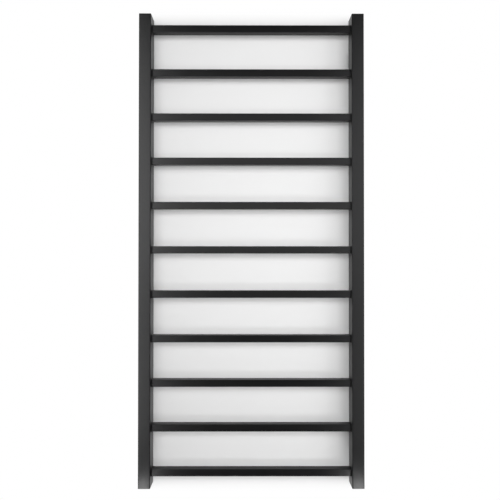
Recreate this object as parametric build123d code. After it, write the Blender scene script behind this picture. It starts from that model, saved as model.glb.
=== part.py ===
from build123d import *
import os
from math import pi

# Electric towel warmer rack: two box-section uprights carry a ladder of square bars.
# Millimetres. X runs to the right, Y back into the wall, Z up. The origin lies on the
# wall plane, at the centre of the wall screws.

# Uprights
RACK_WIDTH = 555.0  # across the outer faces of the two uprights
UPRIGHT_WIDTH = 30.0  # of the box section, seen from the front
UPRIGHT_DEPTH = 40.0  # of the box section, seen from the side
UPRIGHT_WALL = 1.5
UPRIGHT_EDGE = 2.0  # rounding along the four long edges
TOP_MARGIN = 33.0  # upper end of the rack to the centre of the first bar
BOTTOM_MARGIN = 35.0  # centre of the last bar to the lower end of the rack
SMALLEST_RADIUS = 0.3  # inside a tube whose wall is thicker than its edge rounding

# Bars
BAR_COUNT = 11
BAR_PITCH = 110.0
BAR_SIZE = 18.0  # square section
BAR_WALL = 1.2
BAR_EDGE = 1.5  # rounding along the four long edges
BAR_RECESS = 10.0  # front of the uprights to the front of the bars
BAR_REACH = 1.0  # a bar's end past the inside of the upright's wall
BAR_CLEARANCE = 0.1  # round a bar in its slot

# End caps
CAP_THICKNESS = 2.0
CAP_EDGE = 0.8  # rounding round the outer face
CAP_SPIGOT = 8.0  # height of the collar inside the tube
CAP_SPIGOT_WALL = 1.5
CAP_CLEARANCE = 0.15  # round the collar

# Wall brackets and the posts that slide in them
WALL_GAP = 20.0  # wall to the back of the uprights, rack pushed home
BRACKET_FROM_BAR = 35.0  # post to the centre of the last bar but one at its end
PLATE_WIDTH = 20.0
PLATE_THICKNESS = 4.0
PLATE_CORNER = 4.0
PLATE_RIM = 12.0  # wall screw to the end of the plate
WALL_SCREW_HOLE = 5.5
WALL_SCREW_SPACING = 40.0  # between the two screws of one bracket
SOCKET_WALL = 4.0  # round the post
SOCKET_EDGE = 0.6  # chamfer at the socket's mouth
SOCKET_CLEARANCE = 0.4  # socket's mouth to the rivet nut, rack pushed home
POST_DIAMETER = 10.0
POST_FIT = 0.04  # radial running clearance in the socket
POST_END_GAP = 1.0  # post to the socket's floor, rack pushed home
POST_EDGE = 0.6  # chamfer at the post's free end
SLIDE_TRAVEL = 6.0  # how far the rack draws out to stand clear of an uneven wall
STUD_DIAMETER = 6.0
STUD_LENGTH = 12.0
GRUB_DIAMETER = 4.0
GRUB_KEY = 2.0  # across the flats of its key socket
GRUB_KEY_DEPTH = 1.5
GRUB_TIP_GAP = 0.3  # backed off from the post
GRUB_SINK = 0.2  # below the outside of the socket
THREAD_CLEARANCE = 0.05  # radial, at every screwed fit

# Blind nuts in the uprights' back walls
NUT_FLANGE_DIAMETER = 13.0
NUT_FLANGE = 1.0
NUT_BARREL_DIAMETER = 9.0
NUT_BARREL = 14.0  # length inside the upright, from its back face
NUT_COLLAR_DIAMETER = 12.0
NUT_COLLAR = 3.0  # the part that is crimped behind the wall
NUT_CLEARANCE = 0.05  # radial, in the wall's hole

# Heating cable, its joint and its end
CABLE_DIAMETER = 4.0
CABLE_CLEARANCE = 0.1  # to the bar's inner walls that it lies against
CABLE_SIDE_ROOM = 4.0  # between its bends and the upright's outer wall
CABLE_SOCKET = 6.0  # length of cable inside the joint and the end seal
JOINT_DIAMETER = 8.0
JOINT_LENGTH = 30.0
JOINT_STANDOFF = 6.0  # straight cable between a bend and the joint or end seal
SEAL_DIAMETER = 7.0
SEAL_LENGTH = 25.0

# Plain leads
LEAD_DIAMETER = 2.0
LEAD_CLEARANCE = 0.05  # radial, where a lead goes into a fitting
LEAD_SPREAD = 3.6  # between the two leads, where they leave the joint
LEAD_SOCKET = 4.0  # length of lead inside a fitting
LEAD_BEND = 6.5
LEAD_RETURN = 14.0  # the live lead's turn back, front to back
LEAD_RISE = 11.0  # height of that turn above the joint
SWITCH_LEAD_BEND = 12.0
SWITCH_LEAD_TAIL = 10.0  # straight lead above the switch
SWITCH_LEAD_HEAD = 14.0  # straight lead below the cut-out
CUTOUT_WIDTH = 8.0
CUTOUT_DEPTH = 6.0
CUTOUT_HEIGHT = 16.0
CUTOUT_EDGE = 0.8
CUTOUT_DROP = 6.0  # top of the cut-out below the top of the joint
SPLICE_DIAMETER = 5.0
SPLICE_LENGTH = 16.0
SPLICE_RISE = 16.0  # above the joint
SPLICE_MOUTH = 3.0  # bore left open for the supply
SPLICE_MOUTH_DEPTH = 8.0

# Earth terminal on the right upright's inner wall
EARTH_STUD_DIAMETER = 4.0
EARTH_STUD_LENGTH = 12.0
EARTH_RISE = 38.0  # above the centre of the last bar
EARTH_SETBACK = 10.0  # behind the middle of the upright
EARTH_WASHER_DIAMETER = 9.0
EARTH_WASHER = 0.8
EARTH_NUT_FLATS = 7.0
EARTH_NUT = 3.2

# Inlet for the supply, in the right upright's back wall
GROMMET_RISE = 30.0  # above the centre of the last bar
GROMMET_NECK_DIAMETER = 10.0
GROMMET_FLANGE_DIAMETER = 14.0
GROMMET_FLANGE = 1.5
GROMMET_BORE = 7.0
GROMMET_WEB = 0.8  # skin that the supply is pushed through
GROMMET_CLEARANCE = 0.05

# Push switch in the right upright's lower cap
SWITCH_DIAMETER = 12.0
SWITCH_LENGTH = 20.0  # barrel above the bezel
SWITCH_BEZEL_DIAMETER = 16.0
SWITCH_BEZEL = 1.5
SWITCH_SEAL_DIAMETER = 15.0
SWITCH_SEAL = 0.8
SWITCH_NUT_FLATS = 14.0
SWITCH_NUT = 2.5
SWITCH_CLEARANCE = 0.1  # radial, in the cap, the seal and the nut
BUTTON_DIAMETER = 8.0
BUTTON_PROUD = 1.5  # below the bezel
BUTTON_GUIDE = 8.0  # length of the bore that guides it
BUTTON_FLANGE_DIAMETER = 9.4
BUTTON_FLANGE = 1.2
BUTTON_TRAVEL = 1.2
BUTTON_FIT = 0.05  # radial running clearance, and the gap under its flange
BUTTON_OVERTRAVEL = 0.5  # left above its flange when it is pressed
BUTTON_EDGE = 0.5
BLADE_WIDTH = 2.8
BLADE_THICKNESS = 0.8
BLADE_HEIGHT = 6.0
BLADE_SPREAD = 6.0

SIDES = {"left": -1, "right": 1}
ENDS = {"top": 1, "bottom": -1}

# Places that follow from the sizes above
ladder_half = (BAR_COUNT - 1) * BAR_PITCH / 2
rack_top = ladder_half + TOP_MARGIN
rack_bottom = -ladder_half - BOTTOM_MARGIN
tube_bottom = rack_bottom + CAP_THICKNESS
tube_height = rack_top - rack_bottom - 2 * CAP_THICKNESS
upright_x = (RACK_WIDTH - UPRIGHT_WIDTH) / 2
upright_back = -WALL_GAP
upright_front = upright_back - UPRIGHT_DEPTH
upright_y = (upright_front + upright_back) / 2
inner_face_x = RACK_WIDTH / 2 - UPRIGHT_WIDTH
inner_wall_x = inner_face_x + UPRIGHT_WALL
back_wall_y = upright_back - UPRIGHT_WALL
bar_y = upright_front + BAR_RECESS + BAR_SIZE / 2
bar_end_x = inner_wall_x + BAR_REACH
bar_levels = [ladder_half - row * BAR_PITCH for row in range(BAR_COUNT)]
last_bar_z = bar_levels[-1]
bracket_z = ladder_half - BAR_PITCH + BRACKET_FROM_BAR

socket_bore = POST_DIAMETER + 2 * POST_FIT
socket_diameter = socket_bore + 2 * SOCKET_WALL
nut_face_y = upright_back + NUT_FLANGE
socket_mouth_y = nut_face_y + SOCKET_CLEARANCE
post_end_y = -PLATE_THICKNESS - POST_END_GAP
grub_y = post_end_y - SLIDE_TRAVEL - GRUB_DIAMETER

cable_radius = CABLE_DIAMETER / 2
cable_bend = UPRIGHT_WIDTH - 2 * UPRIGHT_WALL - BAR_REACH - cable_radius - CABLE_SIDE_ROOM
cable_lane_x = bar_end_x + cable_bend
cable_y = bar_y - BAR_SIZE / 2 + BAR_WALL + CABLE_CLEARANCE + cable_radius
cable_lift = BAR_WALL + CABLE_CLEARANCE + cable_radius - BAR_SIZE / 2
cable_levels = [level + cable_lift for level in bar_levels]
joint_bottom = cable_levels[-1] + cable_bend + JOINT_STANDOFF
joint_top = joint_bottom + JOINT_LENGTH
seal_top = cable_levels[0] - cable_bend - JOINT_STANDOFF

live_x = cable_lane_x - LEAD_SPREAD / 2
neutral_x = cable_lane_x + LEAD_SPREAD / 2
live_back_y = cable_y + LEAD_RETURN
cutout_top = joint_top - CUTOUT_DROP
cutout_bottom = cutout_top - CUTOUT_HEIGHT
splice_bottom = joint_top + SPLICE_RISE

switch_seat = rack_bottom - SWITCH_SEAL
switch_top = switch_seat + SWITCH_LENGTH
blade_top = switch_top + BLADE_HEIGHT


def tube_section(width, height, wall, edge):
    """A hollow box section with rounded edges."""
    inner_edge = max(edge - wall, SMALLEST_RADIUS)
    outer = RectangleRounded(width, height, edge)
    inner = RectangleRounded(width - 2 * wall, height - 2 * wall, inner_edge)
    return outer - inner


def rod_x(x_from, x_to, y, z, diameter):
    """A round rod along X."""
    middle = (x_from + x_to) / 2
    return Pos(middle, y, z) * Rot(0, 90, 0) * Cylinder(diameter / 2, abs(x_to - x_from))


def rod_y(x, y_from, y_to, z, diameter):
    """A round rod along Y."""
    middle = (y_from + y_to) / 2
    return Pos(x, middle, z) * Rot(90, 0, 0) * Cylinder(diameter / 2, abs(y_to - y_from))


def rod_z(x, y, z_from, z_to, diameter):
    """A round rod along Z."""
    middle = (z_from + z_to) / 2
    return Pos(x, y, middle) * Cylinder(diameter / 2, abs(z_to - z_from))


def hexagon(flats):
    """A regular hexagon of the given width across its flats."""
    return RegularPolygon(flats / 2, 6, major_radius=False)


def cable(points, bend, diameter):
    """A round cable of straight runs and tangent arcs."""
    route = FilletPolyline(*points, radius=bend)
    section = Plane(origin=route @ 0, z_dir=route % 0) * Circle(diameter / 2)
    return sweep(section, path=route), route.length


def report_cable(name, solid, length, bend, diameter):
    """Print a cable's bend and compare its volume with its section times its length."""
    expected = pi * diameter**2 / 4 * length
    print(f"{name}: length {length:.1f}, bend {bend:.1f}, volume ratio {solid.volume / expected:.5f}")


def upright(side):
    """A box-section tube with a slot for each bar and holes for its two blind nuts."""
    section = tube_section(UPRIGHT_WIDTH, UPRIGHT_DEPTH, UPRIGHT_WALL, UPRIGHT_EDGE)
    tube = Pos(side * upright_x, upright_y, tube_bottom) * extrude(section, tube_height)
    slot_size = BAR_SIZE + 2 * BAR_CLEARANCE
    slot_sketch = Plane.YZ * RectangleRounded(slot_size, slot_size, BAR_EDGE + BAR_CLEARANCE)
    slot = extrude(slot_sketch, UPRIGHT_WALL, both=True)
    slot_x = side * (inner_face_x + UPRIGHT_WALL / 2)
    tube -= [Pos(slot_x, bar_y, level) * slot for level in bar_levels]
    nut_hole = NUT_BARREL_DIAMETER + 2 * NUT_CLEARANCE
    for end in ENDS.values():
        tube -= rod_y(side * upright_x, back_wall_y, upright_back, end * bracket_z, nut_hole)
    return tube


def right_upright():
    """The upright that the supply comes into."""
    inlet_diameter = GROMMET_NECK_DIAMETER + 2 * GROMMET_CLEARANCE
    inlet_z = last_bar_z + GROMMET_RISE
    return upright(1) - rod_y(upright_x, back_wall_y, upright_back, inlet_z, inlet_diameter)


def bar(level):
    """A square tube whose ends pass through the uprights' inner walls."""
    section = Plane.YZ * tube_section(BAR_SIZE, BAR_SIZE, BAR_WALL, BAR_EDGE)
    return Pos(0, bar_y, level) * extrude(section, bar_end_x, both=True)


def cap(side, end):
    """A flush end cap with a collar that plugs into the upright."""
    rim = extrude(RectangleRounded(UPRIGHT_WIDTH, UPRIGHT_DEPTH, UPRIGHT_EDGE), CAP_THICKNESS)
    rim = fillet(rim.faces().sort_by(Axis.Z)[-1].edges(), CAP_EDGE)
    inset = UPRIGHT_WALL + CAP_CLEARANCE
    collar_edge = max(UPRIGHT_EDGE - inset, SMALLEST_RADIUS)
    collar_section = tube_section(
        UPRIGHT_WIDTH - 2 * inset, UPRIGHT_DEPTH - 2 * inset, CAP_SPIGOT_WALL, collar_edge
    )
    collar = extrude(collar_section, -CAP_SPIGOT)
    turned = Rot(0, 0, 0) if end > 0 else Rot(180, 0, 0)
    seat = rack_top - CAP_THICKNESS if end > 0 else tube_bottom
    return Pos(side * upright_x, upright_y, seat) * turned * (rim + collar)


def switch_cap():
    """The right upright's lower cap, with a hole for the push switch."""
    hole = SWITCH_DIAMETER + 2 * SWITCH_CLEARANCE
    return cap(1, -1) - rod_z(upright_x, upright_y, rack_bottom, tube_bottom, hole)


def wall_bracket(x, z):
    """A screw plate with a blind socket for the post and a tapped hole for its grub screw."""
    plate_height = WALL_SCREW_SPACING + 2 * PLATE_RIM
    outline = Plane.XZ * RectangleRounded(PLATE_WIDTH, plate_height, PLATE_CORNER)
    plate = Pos(x, 0, z) * extrude(outline, PLATE_THICKNESS)
    boss = rod_y(x, socket_mouth_y, -PLATE_THICKNESS, z, socket_diameter)
    boss = chamfer(boss.edges().sort_by(Axis.Y)[0], SOCKET_EDGE)
    body = plate + boss - rod_y(x, socket_mouth_y, -PLATE_THICKNESS, z, socket_bore)
    body -= rod_z(x, grub_y, z - socket_diameter / 2, z, GRUB_DIAMETER + 2 * THREAD_CLEARANCE)
    for offset in (-WALL_SCREW_SPACING / 2, WALL_SCREW_SPACING / 2):
        body -= rod_y(x, -PLATE_THICKNESS, 0, z + offset, WALL_SCREW_HOLE)
    return body


def grub_screw(x, z):
    """A set screw under the socket, with its key socket facing down."""
    low = z - socket_diameter / 2 + GRUB_SINK
    high = z - POST_DIAMETER / 2 - GRUB_TIP_GAP
    key = Pos(x, grub_y, low) * extrude(hexagon(GRUB_KEY), GRUB_KEY_DEPTH)
    return rod_z(x, grub_y, low, high, GRUB_DIAMETER) - key


def post(x, z):
    """A turned post with a stud that screws into the blind nut."""
    shank = rod_y(x, nut_face_y, post_end_y, z, POST_DIAMETER)
    shank = chamfer(shank.edges().sort_by(Axis.Y)[-1], POST_EDGE)
    return shank + rod_y(x, nut_face_y - STUD_LENGTH, nut_face_y, z, STUD_DIAMETER)


def rivet_nut(x, z):
    """A blind nut: a flange outside the wall, a crimped collar inside it and a barrel."""
    flange = rod_y(x, upright_back, nut_face_y, z, NUT_FLANGE_DIAMETER)
    collar = rod_y(x, back_wall_y - NUT_COLLAR, back_wall_y, z, NUT_COLLAR_DIAMETER)
    barrel = rod_y(x, upright_back - NUT_BARREL, upright_back, z, NUT_BARREL_DIAMETER)
    thread = STUD_DIAMETER + 2 * THREAD_CLEARANCE
    return flange + collar + barrel - rod_y(x, upright_back - NUT_BARREL, nut_face_y, z, thread)


def heating_cable():
    """One cable from the joint, through every bar in turn from the last up, to the end seal."""
    points = [(cable_lane_x, cable_y, joint_bottom + CABLE_SOCKET)]
    side = 1
    for level in reversed(cable_levels):
        points.append((side * cable_lane_x, cable_y, level))
        side = -side
        points.append((side * cable_lane_x, cable_y, level))
    points.append((side * cable_lane_x, cable_y, seal_top - CABLE_SOCKET))
    solid, length = cable(points, cable_bend, CABLE_DIAMETER)
    report_cable("heating_cable", solid, length, cable_bend, CABLE_DIAMETER)
    return solid


def cold_joint():
    """A moulded sleeve: the cable goes in below, two leads come out above."""
    cable_bore = CABLE_DIAMETER + 2 * CABLE_CLEARANCE
    lead_bore = LEAD_DIAMETER + 2 * LEAD_CLEARANCE
    sleeve = rod_z(cable_lane_x, cable_y, joint_bottom, joint_top, JOINT_DIAMETER)
    sleeve -= rod_z(cable_lane_x, cable_y, joint_bottom, joint_bottom + CABLE_SOCKET, cable_bore)
    for lead_x in (live_x, neutral_x):
        sleeve -= rod_z(lead_x, cable_y, joint_top - LEAD_SOCKET, joint_top, lead_bore)
    return sleeve


def cable_end_seal():
    """A cap moulded over the cable's far end, after the first bar."""
    far_side = 1 if BAR_COUNT % 2 == 0 else -1
    x = far_side * cable_lane_x
    bore = CABLE_DIAMETER + 2 * CABLE_CLEARANCE
    body = rod_z(x, cable_y, seal_top - SEAL_LENGTH, seal_top, SEAL_DIAMETER)
    return body - rod_z(x, cable_y, seal_top - CABLE_SOCKET, seal_top, bore)


def live_lead():
    """From the joint up, back and down into the cut-out."""
    turn_z = joint_top + LEAD_RISE
    points = [
        (live_x, cable_y, joint_top - LEAD_SOCKET),
        (live_x, cable_y, turn_z),
        (live_x, live_back_y, turn_z),
        (live_x, live_back_y, cutout_top - LEAD_SOCKET),
    ]
    solid, length = cable(points, LEAD_BEND, LEAD_DIAMETER)
    report_cable("live_lead", solid, length, LEAD_BEND, LEAD_DIAMETER)
    return solid


def switch_lead():
    """From the cut-out down to the switch's nearer terminal."""
    blade_x = upright_x + BLADE_SPREAD / 2
    points = [
        (live_x, live_back_y, cutout_bottom + LEAD_SOCKET),
        (live_x, live_back_y, cutout_bottom - SWITCH_LEAD_HEAD),
        (blade_x, upright_y, blade_top + SWITCH_LEAD_TAIL),
        (blade_x, upright_y, blade_top),
    ]
    solid, length = cable(points, SWITCH_LEAD_BEND, LEAD_DIAMETER)
    report_cable("switch_lead", solid, length, SWITCH_LEAD_BEND, LEAD_DIAMETER)
    return solid


def neutral_lead():
    """Straight up from the joint into the splice."""
    low = joint_top - LEAD_SOCKET
    return rod_z(neutral_x, cable_y, low, splice_bottom + LEAD_SOCKET, LEAD_DIAMETER)


def neutral_splice():
    """A crimp sleeve, open above for the supply."""
    top = splice_bottom + SPLICE_LENGTH
    lead_bore = LEAD_DIAMETER + 2 * LEAD_CLEARANCE
    sleeve = rod_z(neutral_x, cable_y, splice_bottom, top, SPLICE_DIAMETER)
    sleeve -= rod_z(neutral_x, cable_y, splice_bottom, splice_bottom + LEAD_SOCKET, lead_bore)
    return sleeve - rod_z(neutral_x, cable_y, top - SPLICE_MOUTH_DEPTH, top, SPLICE_MOUTH)


def thermal_cutout():
    """A small sealed block in the live lead."""
    block = Box(CUTOUT_WIDTH, CUTOUT_DEPTH, CUTOUT_HEIGHT)
    block = fillet(block.edges().filter_by(Axis.Z), CUTOUT_EDGE)
    block = Pos(live_x, live_back_y, (cutout_top + cutout_bottom) / 2) * block
    lead_bore = LEAD_DIAMETER + 2 * LEAD_CLEARANCE
    block -= rod_z(live_x, live_back_y, cutout_top - LEAD_SOCKET, cutout_top, lead_bore)
    return block - rod_z(live_x, live_back_y, cutout_bottom, cutout_bottom + LEAD_SOCKET, lead_bore)


def earth_pieces():
    """A stud on the upright's inner wall, with a washer and a nut at its root."""
    y = upright_y + EARTH_SETBACK
    z = last_bar_z + EARTH_RISE
    hole = EARTH_STUD_DIAMETER + 2 * THREAD_CLEARANCE
    washer_end = inner_wall_x + EARTH_WASHER
    nut_end = washer_end + EARTH_NUT
    stud = rod_x(inner_wall_x, inner_wall_x + EARTH_STUD_LENGTH, y, z, EARTH_STUD_DIAMETER)
    washer = rod_x(inner_wall_x, washer_end, y, z, EARTH_WASHER_DIAMETER)
    washer -= rod_x(inner_wall_x, washer_end, y, z, hole)
    nut = Pos(washer_end, y, z) * extrude(Plane.YZ * hexagon(EARTH_NUT_FLATS), EARTH_NUT)
    nut -= rod_x(washer_end, nut_end, y, z, hole)
    return {"earth_stud": stud, "earth_washer": washer, "earth_nut": nut}


def supply_grommet():
    """A rubber grommet round the inlet, closed by a thin skin until the supply is fitted."""
    z = last_bar_z + GROMMET_RISE
    outside = upright_back + GROMMET_FLANGE
    inside = back_wall_y - GROMMET_FLANGE
    body = rod_y(upright_x, inside, back_wall_y, z, GROMMET_FLANGE_DIAMETER)
    body += rod_y(upright_x, back_wall_y, upright_back, z, GROMMET_NECK_DIAMETER)
    body += rod_y(upright_x, upright_back, outside, z, GROMMET_FLANGE_DIAMETER)
    body -= rod_y(upright_x, inside, outside, z, GROMMET_BORE)
    web_from = (back_wall_y + upright_back - GROMMET_WEB) / 2
    return body + rod_y(upright_x, web_from, web_from + GROMMET_WEB, z, GROMMET_BORE)


def switch_pieces():
    """A push switch through the lower cap: bezel and seal below, nut and terminals above."""
    x, y = upright_x, upright_y
    bezel_face = switch_seat - SWITCH_BEZEL
    shelf = bezel_face + BUTTON_GUIDE
    flange_low = shelf + BUTTON_FIT
    flange_high = flange_low + BUTTON_FLANGE
    chamber_top = flange_high + BUTTON_TRAVEL + BUTTON_OVERTRAVEL
    guide = BUTTON_DIAMETER + 2 * BUTTON_FIT
    chamber = BUTTON_FLANGE_DIAMETER + 2 * BUTTON_FIT
    fit = SWITCH_DIAMETER + 2 * SWITCH_CLEARANCE

    body = rod_z(x, y, bezel_face, switch_seat, SWITCH_BEZEL_DIAMETER)
    body = chamfer(body.edges().sort_by(Axis.Z)[0], BUTTON_EDGE)
    body += rod_z(x, y, switch_seat, switch_top, SWITCH_DIAMETER)
    body -= rod_z(x, y, bezel_face, shelf, guide)
    body -= rod_z(x, y, shelf, chamber_top, chamber)

    button = rod_z(x, y, bezel_face - BUTTON_PROUD, flange_low, BUTTON_DIAMETER)
    button = fillet(button.edges().sort_by(Axis.Z)[0], BUTTON_EDGE)
    button += rod_z(x, y, flange_low, flange_high, BUTTON_FLANGE_DIAMETER)

    seal = rod_z(x, y, switch_seat, rack_bottom, SWITCH_SEAL_DIAMETER)
    seal -= rod_z(x, y, switch_seat, rack_bottom, fit)

    nut = Pos(x, y, tube_bottom) * extrude(hexagon(SWITCH_NUT_FLATS), SWITCH_NUT)
    nut -= rod_z(x, y, tube_bottom, tube_bottom + SWITCH_NUT, fit)

    blade = Box(BLADE_THICKNESS, BLADE_WIDTH, BLADE_HEIGHT)
    blade_z = (switch_top + blade_top) / 2
    blades = [Pos(x + offset * BLADE_SPREAD / 2, y, blade_z) * blade for offset in (-1, 1)]
    return {
        "switch_body": body,
        "switch_button": button,
        "switch_seal": seal,
        "switch_nut": nut,
        "switch_terminals": Compound(children=blades),
    }


def rack_pieces():
    """Every piece of the rack, by name."""
    pieces = {"left_upright": upright(-1), "right_upright": right_upright()}
    for row, level in enumerate(bar_levels, start=1):
        pieces[f"bar_{row:02d}"] = bar(level)

    grubs = []
    nuts = []
    for end_name, end in ENDS.items():
        for side_name, side in SIDES.items():
            x = side * upright_x
            z = end * bracket_z
            pieces[f"{end_name}_cap_{side_name}"] = cap(side, end)
            pieces[f"wall_bracket_{end_name}_{side_name}"] = wall_bracket(x, z)
            pieces[f"post_{end_name}_{side_name}"] = post(x, z)
            grubs.append(grub_screw(x, z))
            nuts.append(rivet_nut(x, z))
    pieces["bottom_cap_right"] = switch_cap()
    pieces["grub_screws"] = Compound(children=grubs)
    pieces["rivet_nuts"] = Compound(children=nuts)

    pieces["heating_cable"] = heating_cable()
    pieces["cable_end_seal"] = cable_end_seal()
    pieces["cold_joint"] = cold_joint()
    pieces["live_lead"] = live_lead()
    pieces["switch_lead"] = switch_lead()
    pieces["neutral_lead"] = neutral_lead()
    pieces["neutral_splice"] = neutral_splice()
    pieces["thermal_cutout"] = thermal_cutout()
    pieces["supply_grommet"] = supply_grommet()
    pieces.update(earth_pieces())
    pieces.update(switch_pieces())
    return pieces


os.makedirs("parts", exist_ok=True)
for node, shape in rack_pieces().items():
    export_step(shape, os.path.join("parts", f"{node}.step"))
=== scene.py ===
# %% [markdown]
# # A ladder towel warmer
# This lesson dresses a wall-hung towel warmer: two box-section uprights, eleven square bars let in
# between them, four concealed wall brackets, and the electric parts inside. The CAD model gives every
# rigid shape, so Blender adds what CAD leaves out: the finish of each part, the painted joints, the
# light and the camera. The model is loaded first. Everything is in metres, in its frame: X right, Y
# into the wall, Z up.

# %% Load the rack
from math import pi, radians

import bmesh
import bpy
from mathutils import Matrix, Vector


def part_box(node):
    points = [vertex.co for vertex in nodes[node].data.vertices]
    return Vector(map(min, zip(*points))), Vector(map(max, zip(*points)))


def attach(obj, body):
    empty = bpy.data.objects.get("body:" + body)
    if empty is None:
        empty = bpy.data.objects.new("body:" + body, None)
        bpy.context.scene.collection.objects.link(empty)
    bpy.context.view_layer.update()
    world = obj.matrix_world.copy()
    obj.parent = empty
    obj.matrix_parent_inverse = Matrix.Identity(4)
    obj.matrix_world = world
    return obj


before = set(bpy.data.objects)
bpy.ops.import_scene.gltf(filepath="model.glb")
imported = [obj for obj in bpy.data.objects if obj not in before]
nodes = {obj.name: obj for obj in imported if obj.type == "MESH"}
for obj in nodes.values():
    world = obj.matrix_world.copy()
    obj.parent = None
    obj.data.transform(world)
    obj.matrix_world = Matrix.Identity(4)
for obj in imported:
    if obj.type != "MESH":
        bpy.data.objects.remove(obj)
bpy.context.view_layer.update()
scene = bpy.context.scene
scene.view_settings.view_transform = "Standard"

# %% [markdown]
# ## The camera
# The rack is seen square on from its middle height. Two things fix the camera: how much of the tops
# and undersides of the bars can be seen, and how far the back edges of the uprights draw in. The
# focal length is kept in pixels of a 500-pixel frame and turned into a lens here. A camera held level
# keeps the uprights parallel; this one is tipped up by half a degree, so they draw together by less
# than a hundredth of their distance.

# %% Camera
FRAME_PIXELS = 500
FOCAL_PIXELS = 465.0
SENSOR_MM = 36
CAMERA_PLACE = (-0.0054, -1.2015, -0.0103)
CAMERA_TURN = (90.491, -0.025, -0.108)  # degrees; 90 about X looks level along +Y

camera_data = bpy.data.cameras.new("camera")
camera_data.sensor_width = SENSOR_MM
camera_data.lens = FOCAL_PIXELS / FRAME_PIXELS * SENSOR_MM
camera = bpy.data.objects.new("camera", camera_data)
camera.location = CAMERA_PLACE
camera.rotation_euler = [radians(degrees) for degrees in CAMERA_TURN]
scene.collection.objects.link(camera)
scene.camera = camera
print("lens", round(camera_data.lens, 2), "mm")

# %% [markdown]
# ## Small helpers
# Colours are written as sRGB hex, as a paint chart gives them, but a shader works in linear light, so
# one function turns the first into the second. Another adds a node, sets its options, and fills each
# input with a value or with a link; it serves the stage, every finish, and the geometry tree. Two
# short ones start and end a material.

# %% Colour and node helpers
def linear(hex_colour):
    """sRGB hex, such as #1A1A1B, as the linear RGBA that a colour socket takes."""
    parts = [int(hex_colour[i : i + 2], 16) / 255 for i in (1, 3, 5)]
    return [c / 12.92 if c <= 0.04045 else ((c + 0.055) / 1.055) ** 2.4 for c in parts] + [1]


def add(tree, kind, inputs=None, **settings):
    """Adds a node, sets its options, and gives each input a value or a link."""
    node = tree.nodes.new(kind)
    for name, value in settings.items():
        setattr(node, name, value)
    for name, value in (inputs or {}).items():
        if isinstance(value, bpy.types.NodeSocket):
            tree.links.new(value, node.inputs[name])
        else:
            node.inputs[name].default_value = value
    return node


def new_material(name):
    """An empty node material: its tree, and the Object coordinates that its patterns read."""
    material = bpy.data.materials.new(name)
    material.use_nodes = True
    tree = material.node_tree
    tree.nodes.clear()
    return material, tree, add(tree, "ShaderNodeTexCoord").outputs["Object"]


def wear(tree, shader):
    """Ends a material's tree in its shader."""
    add(tree, "ShaderNodeOutputMaterial", {"Surface": shader})


print("black is", linear("#1A1A1B")[:3])

# %% [markdown]
# ## The wall and the floor
# The rack hangs 20 mm clear of a white wall, and the wall between its bars carries their soft
# shadows. Round the outline the wall is a painted white glow, as in a cut-out: it hides the rack's
# shadow there, its own brightness shows and the lamps have no say. The rack is also looked at from
# behind, so the wall is drawn on its front only and lets the light of the room through to the back of
# the rack. The floor is a plain pale sheet below.

# %% Stage sheets
WALL_Y = 0.0006
FLOOR_Z = -1.25
ROOM = 4.0


def sheet_of(name, corners):
    """One flat rectangle of the stage, given by its corners."""
    mesh = bpy.data.meshes.new(name)
    mesh.from_pydata(corners, [], [(0, 1, 2, 3)])
    sheet = bpy.data.objects.new(name, mesh)
    scene.collection.objects.link(sheet)
    return sheet


wall = sheet_of("stage_wall", [(-ROOM, WALL_Y, FLOOR_Z), (ROOM, WALL_Y, FLOOR_Z),
                               (ROOM, WALL_Y, ROOM), (-ROOM, WALL_Y, ROOM)])
wall.visible_shadow = False
floor = sheet_of("stage_floor", [(-ROOM, -ROOM, FLOOR_Z), (ROOM, -ROOM, FLOOR_Z),
                                 (ROOM, ROOM, FLOOR_Z), (-ROOM, ROOM, FLOOR_Z)])
print("wall at y", WALL_Y, "floor at z", FLOOR_Z)

# %% [markdown]
# ## Stage paint
# The wall's paint is a matt white. A mask, worked out from the place on the wall, is 0 between the
# uprights and 1 outside the rack's outline, with its soft edge hidden behind the uprights. Where it is
# 1, a white glow is painted in, which hides the rack's shadow round the outline. Light Path makes this
# painted white show to the camera and in reflections only, so that it adds no light to the rack.

# %% Wall and floor paint
EDGE_X = (0.256, 0.286)  # metres from the middle: where the clean white starts, and where it is full
EDGE_Z = (0.572, 0.618)


def for_the_eye(tree):
    """1 for light on its way to the eye, straight or by a reflection or glass, and 0 for other light."""
    ray = add(tree, "ShaderNodeLightPath").outputs
    seen = add(tree, "ShaderNodeMath",
               {0: ray["Is Camera Ray"], 1: ray["Is Glossy Ray"]}, operation="MAXIMUM")
    return add(tree, "ShaderNodeMath",
               {0: seen.outputs[0], 1: ray["Is Transmission Ray"]}, operation="MAXIMUM").outputs[0]


paint, tree, place = new_material("white_wall_with_painted_glow")
across = add(tree, "ShaderNodeSeparateXYZ", {"Vector": place})
outside = []
for axis, (start, end) in (("X", EDGE_X), ("Z", EDGE_Z)):
    far = add(tree, "ShaderNodeMath", {0: across.outputs[axis]}, operation="ABSOLUTE")
    fade = add(tree, "ShaderNodeMapRange",
               {"Value": far.outputs[0], "From Min": start, "From Max": end},
               interpolation_type="SMOOTHSTEP")
    outside.append(fade.outputs["Result"])
# The mask of the painted white glow, which hides the rack's shadow outside its outline.
clear = add(tree, "ShaderNodeMath", {0: outside[0], 1: outside[1]}, operation="MAXIMUM")
white = add(tree, "ShaderNodeMath", {0: clear.outputs[0], 1: for_the_eye(tree)}, operation="MULTIPLY")
matt = add(tree, "ShaderNodeBsdfDiffuse", {"Color": linear("#F4F4F4")})
bright = add(tree, "ShaderNodeEmission", {"Color": linear("#FFFFFF"), "Strength": 1.0})
front = add(tree, "ShaderNodeMixShader", {0: white.outputs[0], 1: matt.outputs[0], 2: bright.outputs[0]})
back = add(tree, "ShaderNodeNewGeometry").outputs["Backfacing"]
see_through = add(tree, "ShaderNodeBsdfTransparent")
one_sided = add(tree, "ShaderNodeMixShader", {0: back, 1: front.outputs[0], 2: see_through.outputs[0]})
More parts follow.
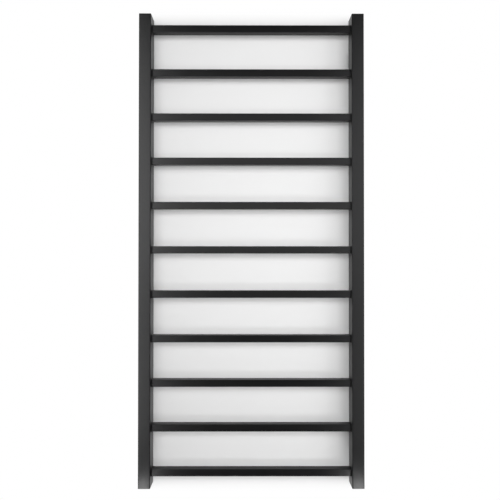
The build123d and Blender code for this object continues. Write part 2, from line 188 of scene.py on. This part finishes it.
wear(tree, one_sided.outputs[0])
wall.data.materials.append(paint)

paint, tree, _ = new_material("pale_floor")
wear(tree, add(tree, "ShaderNodeBsdfDiffuse", {"Color": linear("#E3E3E3")}).outputs[0])
floor.data.materials.append(paint)
print("stage painted")

# %% [markdown]
# ## The room
# Satin black shows little but what it reflects, so the room matters as much as the lamps. The room is
# dim in front, behind the camera, which leaves the bars near black, and paler at the sides and back.
# That is what the camera and the reflections see; the matt surfaces are lit by an even glow instead,
# which keeps shadows soft.

# %% The room
AIR_GLOW = 0.3
FRONT_TONE = 0.22
SIDE_TONE = 0.7
TURN_Y = (-0.95, -0.4)  # Y of the viewing direction, where the front's tone turns into the sides'

room = bpy.data.worlds.new("studio_room")
scene.world = room
room.use_nodes = True
tree = room.node_tree
tree.nodes.clear()
way = add(tree, "ShaderNodeTexCoord").outputs["Generated"]
depth = add(tree, "ShaderNodeSeparateXYZ", {"Vector": way}).outputs["Y"]
shown = add(tree, "ShaderNodeMapRange",
            {"Value": depth, "From Min": TURN_Y[0], "From Max": TURN_Y[1],
             "To Min": FRONT_TONE, "To Max": SIDE_TONE}, interpolation_type="SMOOTHSTEP")
glow = add(tree, "ShaderNodeMix",
           {"Factor": for_the_eye(tree), "A": AIR_GLOW, "B": shown.outputs["Result"]})
sky = add(tree, "ShaderNodeBackground", {"Color": linear("#FFFFFF"), "Strength": glow.outputs["Result"]})
add(tree, "ShaderNodeOutputWorld", {"Surface": sky.outputs[0]})
print("room glow", AIR_GLOW)

# %% [markdown]
# ## Panels and cards
# Two kinds of lamp do different work, as in a product studio. Broad panels light the wall from the
# front, from low down, from the right and from the side. Crossed filters would take their glare off
# black paint in a real studio; here the first three are hidden from reflections. Cards do the
# opposite: they show in the paint and give its faces their soft grey, but are hidden from matt
# surfaces, so the wall stays even. Each upright has a tall card, and a small one that lightens its
# foot.

# %% Lamps
UPRIGHT_X = 0.2625  # the middle of an upright's face
FACE_Y = -0.06
SIDES = {"left": -1, "right": 1}
CARD_GLOW = {"left": 13.0, "right": 6.0}
FOOT_GLOW = {"left": 34.0, "right": 36.0}


def panel_lamp(name, place, aim, width, height, glow):
    """A soft rectangular lamp that faces aim. A glow of 1 is as bright as white paper."""
    data = bpy.data.lights.new(name, "AREA")
    data.shape = "RECTANGLE"
    data.size = width
    data.size_y = height
    data.energy = glow * pi * width * height
    lamp = bpy.data.objects.new(name, data)
    lamp.location = place
    lamp.rotation_euler = (Vector(aim) - Vector(place)).to_track_quat("-Z", "Y").to_euler()
    lamp.visible_camera = False
    scene.collection.objects.link(lamp)
    return lamp


# Each lamp has a place, the point it faces, its width and height in metres, and its glow.
panels = [panel_lamp("front_panel", (0.06, -1.4, 0.24), (0.06, 0, 0.24), 1.6, 0.6, 4.15),
          panel_lamp("low_panel", (1.2, -1.9, -0.675), (1.2, 0, -0.675), 1.4, 0.45, 5.1),
          panel_lamp("right_panel", (1.7, -1.5, 0.2), (1.7, 0, 0.2), 0.8, 0.8, 3.7),
          panel_lamp("side_panel", (1.7, -0.7, 0.2), (0, 0, 0.1), 0.8, 1.4, 1.45)]
for lamp in panels[:3]:
    lamp.visible_glossy = False
cards = [panel_lamp("front_card", (-0.22, -1.8, 0.36), (-0.22, 0, 0.36), 1.75, 0.95, 2.7)]
for name, side in SIDES.items():
    cards.append(panel_lamp(f"{name}_card", (side * 0.59, -0.8, 0.045),
                            (side * UPRIGHT_X, FACE_Y, 0.045), 0.24, 1.8, CARD_GLOW[name]))
for name, side in SIDES.items():
    cards.append(panel_lamp(f"{name}_foot_card", (side * 0.298, -0.19, -0.672),
                            (side * UPRIGHT_X, FACE_Y, -0.605), 0.038, 0.075, FOOT_GLOW[name]))
for lamp in cards:
    lamp.visible_diffuse = False
print(len(panels), "panels,", len(cards), "cards")

# %% [markdown]
# ## Satin black powder coat
# The uprights, bars and caps are steel tube, sprayed with dry polyester powder and baked. The powder
# melts into a skin a tenth of a millimetre thick that is nearly black, evenly satin, and faintly
# rippled like orange peel. A flat colour would look like plastic film, so the tone and the gloss
# drift slowly along the tubes, and the ripple is a fine bump. The powder holds matting wax that
# swallows much of the gloss, so the specular level is low. The cast zinc brackets get the same
# powder, baked a little duller.

# %% Powder coat
PEEL_MM = 3.0  # the ripple is 1 to 5 mm from crest to crest
PATCH_MM = 60
GLOSS_DRIFT = 0.04


def powder_coat(name, dark, light, roughness):
    """Baked polyester powder: near-black and satin, so the eye sees soft reflections of the room."""
    material, tree, place = new_material(name)
    patch = add(tree, "ShaderNodeTexNoise", {"Vector": place, "Scale": 1000 / PATCH_MM, "Detail": 3.0})
    tone = add(tree, "ShaderNodeMix",
               {"Factor": patch.outputs["Fac"], "A": linear(dark), "B": linear(light)}, data_type="RGBA")
    gloss = add(tree, "ShaderNodeMapRange",
                {"Value": patch.outputs["Fac"],
                 "To Min": roughness - GLOSS_DRIFT, "To Max": roughness + GLOSS_DRIFT})
    peel = add(tree, "ShaderNodeTexNoise", {"Vector": place, "Scale": 1000 / PEEL_MM, "Detail": 1.0})
    ripple = add(tree, "ShaderNodeBump",
                 {"Height": peel.outputs["Fac"], "Strength": 0.3, "Distance": 0.00006})
    skin = add(tree, "ShaderNodeBsdfPrincipled",
               {"Base Color": tone.outputs["Result"], "Roughness": gloss.outputs["Result"],
                "IOR": 1.5, "Specular IOR Level": 0.15, "Normal": ripple.outputs["Normal"]})
    wear(tree, skin.outputs[0])
    return material


finishes = {"powder_coat": powder_coat("satin_black_powder_coat", "#0A0A0B", "#0D0D0E", 0.32)}
finishes["bracket_coat"] = powder_coat("black_powder_coat_on_cast_zinc", "#0E0E0F", "#131314", 0.50)
print(list(finishes))

# %% [markdown]
# ## Zinc-plated steel
# The posts, blind nuts, screws and earth terminal are turned or pressed steel under a few thousandths
# of a millimetre of zinc, sealed in a bluish bath. Zinc grows in small crystals that catch the light
# one by one. Painted speckles would not move with the light, so cells of the Voronoi texture change
# tone and gloss.

# %% Zinc plate
CRYSTAL_MM = 1.2  # real crystals are under 0.1 mm; they are drawn this coarse to show

# A bright, slightly blue metal whose crystals glint unevenly.
material, tree, place = new_material("bright_zinc_plated_steel")
crystal = add(tree, "ShaderNodeTexVoronoi", {"Vector": place, "Scale": 1000 / CRYSTAL_MM})
tone = add(tree, "ShaderNodeMix", {"Factor": crystal.outputs["Color"], "A": linear("#AEB3B8"),
                                   "B": linear("#C6C9CC")}, data_type="RGBA")
gloss = add(tree, "ShaderNodeMapRange",
            {"Value": crystal.outputs["Color"], "To Min": 0.26, "To Max": 0.40})
relief = add(tree, "ShaderNodeBump",
             {"Height": crystal.outputs["Distance"], "Strength": 0.15, "Distance": 0.00003})
metal = add(tree, "ShaderNodeBsdfPrincipled",
            {"Base Color": tone.outputs["Result"], "Metallic": 1.0, "Roughness": gloss.outputs["Result"],
             "Normal": relief.outputs["Normal"]})
wear(tree, metal.outputs[0])
finishes["zinc_steel"] = material
print(material.name, "crystals", CRYSTAL_MM, "mm")

# %% [markdown]
# ## Silicone rubber
# The heating cable's jacket, the inlet grommet and the switch's seal are silicone, which stands the
# heat. It is soft and matt, and where it has been handled a faint pale bloom shows. Sheen gives the
# pale rim that dusty rubber has, and two noises give the bloom and the fine grain of the mould.

# %% Silicone
BLOOM_MM = 14
RUBBER_GRAIN_MM = 0.7

# A dark grey that stays dull from every side, with a powdery edge.
material, tree, place = new_material("matt_silicone_rubber")
bloom = add(tree, "ShaderNodeTexNoise", {"Vector": place, "Scale": 1000 / BLOOM_MM, "Detail": 4.0})
tone = add(tree, "ShaderNodeMix", {"Factor": bloom.outputs["Fac"], "A": linear("#232324"),
                                   "B": linear("#343435")}, data_type="RGBA")
gloss = add(tree, "ShaderNodeMapRange", {"Value": bloom.outputs["Fac"], "To Min": 0.58, "To Max": 0.76})
grain = add(tree, "ShaderNodeTexNoise",
            {"Vector": place, "Scale": 1000 / RUBBER_GRAIN_MM, "Detail": 2.0})
relief = add(tree, "ShaderNodeBump",
             {"Height": grain.outputs["Fac"], "Strength": 0.3, "Distance": 0.00004})
rubber = add(tree, "ShaderNodeBsdfPrincipled",
             {"Base Color": tone.outputs["Result"], "Roughness": gloss.outputs["Result"], "IOR": 1.41,
              "Sheen Weight": 0.15, "Sheen Roughness": 0.5, "Normal": relief.outputs["Normal"]})
wear(tree, rubber.outputs[0])
finishes["silicone_rubber"] = material
print(material.name, "bloom", BLOOM_MM, "mm")

# %% [markdown]
# ## Moulded plastics
# The cable's joint, its end seal, the cut-out and the splice are glass-filled nylon, and the push
# button is a harder plastic. Both come from steel moulds with a spark-eroded skin, which leaves fine
# even pits. One function makes both: the pits are Voronoi cells in the bump, and flow marks from the
# mould drift in the gloss.

# %% Moulded plastics
PIT_MM = 0.6  # spark-eroded pits are about 0.05 mm; they are drawn this coarse to show
FLOW_MM = 9
FLOW_DRIFT = 0.05


def moulded_plastic(name, dark, light, roughness, pit_depth):
    """Plastic with the skin of a spark-eroded mould: dull and even, with no polish left anywhere."""
    material, tree, place = new_material(name)
    flow = add(tree, "ShaderNodeTexNoise", {"Vector": place, "Scale": 1000 / FLOW_MM, "Detail": 2.0})
    tone = add(tree, "ShaderNodeMix",
               {"Factor": flow.outputs["Fac"], "A": linear(dark), "B": linear(light)}, data_type="RGBA")
    gloss = add(tree, "ShaderNodeMapRange",
                {"Value": flow.outputs["Fac"],
                 "To Min": roughness - FLOW_DRIFT, "To Max": roughness + FLOW_DRIFT})
    pit = add(tree, "ShaderNodeTexVoronoi", {"Vector": place, "Scale": 1000 / PIT_MM})
    relief = add(tree, "ShaderNodeBump",
                 {"Height": pit.outputs["Distance"], "Strength": 0.4, "Distance": pit_depth})
    plastic = add(tree, "ShaderNodeBsdfPrincipled",
                  {"Base Color": tone.outputs["Result"], "Roughness": gloss.outputs["Result"],
                   "IOR": 1.53, "Normal": relief.outputs["Normal"]})
    wear(tree, plastic.outputs[0])
    return material


finishes["moulded_nylon"] = moulded_plastic("glass_filled_nylon", "#19191A", "#222224", 0.52, 0.00005)
finishes["switch_plunger"] = moulded_plastic("fine_button_plastic", "#2C2C2E", "#343436", 0.48, 0.00003)
print(finishes["moulded_nylon"].name, finishes["switch_plunger"].name)

# %% [markdown]
# ## Lead insulation
# The plain leads are copper strands in an extruded sleeve. Extrusion pulls the surface smooth and
# glossy, and the colour, a brown used for live wires, shifts a little where the pigment was mixed. A
# slow noise does that.

# %% Lead insulation
PIGMENT_MM = 18

# A smooth brown sleeve with a clear highlight along it.
material, tree, place = new_material("extruded_brown_insulation")
pigment = add(tree, "ShaderNodeTexNoise", {"Vector": place, "Scale": 1000 / PIGMENT_MM, "Detail": 2.0})
tone = add(tree, "ShaderNodeMix", {"Factor": pigment.outputs["Fac"], "A": linear("#6B2C1B"),
                                   "B": linear("#80371F")}, data_type="RGBA")
gloss = add(tree, "ShaderNodeMapRange",
            {"Value": pigment.outputs["Fac"], "To Min": 0.24, "To Max": 0.36})
sleeve = add(tree, "ShaderNodeBsdfPrincipled",
             {"Base Color": tone.outputs["Result"], "Roughness": gloss.outputs["Result"], "IOR": 1.54})
wear(tree, sleeve.outputs[0])
finishes["lead_insulation"] = material
print(material.name)

# %% [markdown]
# ## Black anodised aluminium
# The push switch has a turned aluminium shell, anodised and dyed black. The dye sits in the oxide, so
# the fine rings that the lathe left still show through it. Rings about the switch's own axis come
# from a Wave texture, moved to that axis by a Mapping node.

# %% Anodised shell
TURNING_MM = 0.5  # the tool's feed is nearer 0.1 mm; it is drawn this coarse to show
WAVE_PERIOD = 2 * pi / 20  # of the Wave texture at a scale of 1

low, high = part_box("switch_body")
switch_axis = [(a + b) / 2 for a, b in zip(low, high)]

# A deep black metal with thin concentric glints.
material, tree, place = new_material("black_anodised_aluminium")
centred = add(tree, "ShaderNodeMapping", {"Vector": place, "Location": [-c for c in switch_axis]})
ring = add(tree, "ShaderNodeTexWave",
           {"Vector": centred.outputs["Vector"], "Scale": WAVE_PERIOD * 1000 / TURNING_MM,
            "Distortion": 0.4}, wave_type="RINGS", rings_direction="Z")
tone = add(tree, "ShaderNodeMix", {"Factor": ring.outputs["Fac"], "A": linear("#242426"),
                                   "B": linear("#2E2E31")}, data_type="RGBA")
gloss = add(tree, "ShaderNodeMapRange", {"Value": ring.outputs["Fac"], "To Min": 0.30, "To Max": 0.42})
relief = add(tree, "ShaderNodeBump",
             {"Height": ring.outputs["Fac"], "Strength": 0.2, "Distance": 0.00003})
metal = add(tree, "ShaderNodeBsdfPrincipled",
            {"Base Color": tone.outputs["Result"], "Metallic": 1.0, "Roughness": gloss.outputs["Result"],
             "Normal": relief.outputs["Normal"]})
wear(tree, metal.outputs[0])
finishes["switch_shell"] = material
print(material.name, "about", [round(c, 4) for c in switch_axis])

# %% [markdown]
# ## Stamped brass
# The switch's terminals are stamped from rolled brass strip. Rolling draws the surface into fine
# streaks along the strip, and the air dulls it in patches. A noise squeezed by a Mapping node makes
# the streaks.

# %% Brass
STREAK_MM = 0.4
STRETCH = 20  # a streak is this many times as long as it is wide
TARNISH_MM = 5

# A warm yellow metal, streaked along its length and browner in patches.
material, tree, place = new_material("stamped_brass")
drawn = add(tree, "ShaderNodeMapping", {"Vector": place, "Scale": (1, 1, 1 / STRETCH)})
streak = add(tree, "ShaderNodeTexNoise",
             {"Vector": drawn.outputs["Vector"], "Scale": 1000 / STREAK_MM, "Detail": 2.0})
tarnish = add(tree, "ShaderNodeTexNoise", {"Vector": place, "Scale": 1000 / TARNISH_MM, "Detail": 3.0})
tone = add(tree, "ShaderNodeMix", {"Factor": tarnish.outputs["Fac"], "A": linear("#D8B25C"),
                                   "B": linear("#B98F45")}, data_type="RGBA")
gloss = add(tree, "ShaderNodeMapRange", {"Value": streak.outputs["Fac"], "To Min": 0.24, "To Max": 0.44})
metal = add(tree, "ShaderNodeBsdfPrincipled",
            {"Base Color": tone.outputs["Result"], "Metallic": 1.0,
             "Roughness": gloss.outputs["Result"]})
wear(tree, metal.outputs[0])
finishes["terminal_brass"] = material
print(material.name)

# %% [markdown]
# ## Dress the CAD nodes
# Each CAD node came in with one material slot, named after the slot in the model's record. The
# finishes above are kept under the same names, so one short loop puts every finish where it belongs.

# %% Dress the CAD nodes
for node in nodes.values():
    for holder in node.material_slots:
        holder.material = finishes[holder.material.name.split(".")[0]]
print(len(nodes), "nodes in", len(finishes), "finishes")

# %% [markdown]
# ## Painted weld beads
# A bar's end goes into a slot in the upright and is welded round before the rack is coated, so a
# small soft bead shows where each bar meets an upright. A bump in the paint would be lost from the
# side, and a modelled ring shows its shape from anywhere. There are 22 alike, so Geometry Nodes make
# them. The tree's inputs are the real sizes in metres, and its first part draws the path of one bead:
# the bar's outline, a square with rounded corners, cut into short even steps.

# %% The bead tree
bead_tree = bpy.data.node_groups.new("weld_beads", "GeometryNodeTree")
BEAD_SIZES = {"Bar Size": 0.018, "Corner Radius": 0.0015, "Bead Radius": 0.0011, "Bead Step": 0.0009,
              "Inside Width": 0.495, "Ladder Height": 1.10, "Setback": -0.041}
for name in BEAD_SIZES:
    bead_tree.interface.new_socket(name, in_out="INPUT", socket_type="NodeSocketFloat")
bead_tree.interface.new_socket("Bars", in_out="INPUT", socket_type="NodeSocketInt")
bead_tree.interface.new_socket("Finish", in_out="INPUT", socket_type="NodeSocketMaterial")
bead_tree.interface.new_socket("Beads", in_out="OUTPUT", socket_type="NodeSocketGeometry")
size = add(bead_tree, "NodeGroupInput").outputs

square = add(bead_tree, "GeometryNodeCurvePrimitiveQuadrilateral",
             {"Width": size["Bar Size"], "Height": size["Bar Size"]})
path = add(bead_tree, "GeometryNodeFilletCurve",
           {"Curve": square.outputs[0], "Radius": size["Corner Radius"], "Count": 4}, mode="POLY")
path = add(bead_tree, "GeometryNodeResampleCurve",
           {"Curve": path.outputs[0], "Length": size["Bead Step"]}, mode="LENGTH")
print("bead path:", [node.bl_label for node in bead_tree.nodes])

# %% [markdown]
# ## Sweep the bead and repeat it
# A circle swept along the path makes the bead. A slow noise changes its thickness a little, as a weld
# laid by hand swells, and the noise's fourth coordinate is held at one number so that it never
# changes. The ring is then set on every point of a grid, two across and one row for each bar, that
# stands upright at the depth of the bars.

# %% Sweep the bead and repeat it
SWELL_MM = 4
SWELL_SEED = 7.0
section = add(bead_tree, "GeometryNodeCurvePrimitiveCircle",
              {"Resolution": 10, "Radius": size["Bead Radius"]})
swell = add(bead_tree, "ShaderNodeTexNoise",
            {"Scale": 1000 / SWELL_MM, "Detail": 1.0, "W": SWELL_SEED}, noise_dimensions="4D")
swell = add(bead_tree, "ShaderNodeMapRange",
            {"Value": swell.outputs["Fac"], "To Min": 0.75, "To Max": 1.2})
ring = add(bead_tree, "GeometryNodeCurveToMesh",
           {"Curve": path.outputs[0], "Profile Curve": section.outputs[0],
            "Scale": swell.outputs["Result"]})
grid = add(bead_tree, "GeometryNodeMeshGrid",
           {"Size X": size["Inside Width"], "Size Y": size["Ladder Height"],
            "Vertices X": 2, "Vertices Y": size["Bars"]})
set_back = add(bead_tree, "ShaderNodeCombineXYZ", {"Y": size["Setback"]})
ladder = add(bead_tree, "GeometryNodeTransform",
             {"Geometry": grid.outputs["Mesh"], "Translation": set_back.outputs[0],
              "Rotation": (pi / 2, 0, 0)})
placed = add(bead_tree, "GeometryNodeInstanceOnPoints",
             {"Points": ladder.outputs[0], "Instance": ring.outputs[0], "Rotation": (0, pi / 2, 0)})
real = add(bead_tree, "GeometryNodeRealizeInstances", {"Geometry": placed.outputs[0]})
smooth = add(bead_tree, "GeometryNodeSetShadeSmooth", {"Geometry": real.outputs[0]})
coated = add(bead_tree, "GeometryNodeSetMaterial",
             {"Geometry": smooth.outputs[0], "Material": size["Finish"]})
add(bead_tree, "NodeGroupOutput", {"Beads": coated.outputs[0]})
print(len(bead_tree.nodes), "nodes in the bead tree")

# %% [markdown]
# ## Make the beads a plain mesh
# The tree's inputs are set on the modifier by each socket's identifier. Its result is then copied
# into a plain mesh, because the beads are kept as ordinary geometry, and the faces are turned to
# point outwards.

# %% Weld beads
BAR_COUNT = 11
host = bpy.data.objects.new("bead_host", bpy.data.meshes.new("bead_host"))
scene.collection.objects.link(host)
modifier = host.modifiers.new("weld_beads", "NODES")
modifier.node_group = bead_tree
values = dict(BEAD_SIZES, Bars=BAR_COUNT, Finish=finishes["powder_coat"])
for item in bead_tree.interface.items_tree:
    if item.in_out == "INPUT":
        modifier[item.identifier] = values[item.name]
bead_mesh = bpy.data.meshes.new_from_object(host.evaluated_get(bpy.context.evaluated_depsgraph_get()))
bpy.data.objects.remove(host)

shape = bmesh.new()
shape.from_mesh(bead_mesh)
bmesh.ops.recalc_face_normals(shape, faces=shape.faces)
shape.to_mesh(bead_mesh)
shape.free()
bead_mesh.name = "weld_beads"
# The tree leaves an empty slot ahead of the paint's, so the slots are made again.
bead_mesh.materials.clear()
bead_mesh.materials.append(finishes["powder_coat"])
beads = bpy.data.objects.new("weld_beads", bead_mesh)
scene.collection.objects.link(beads)
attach(beads, "rack")
print("weld beads:", len(bead_mesh.polygons), "faces in", bead_mesh.materials[0].name)
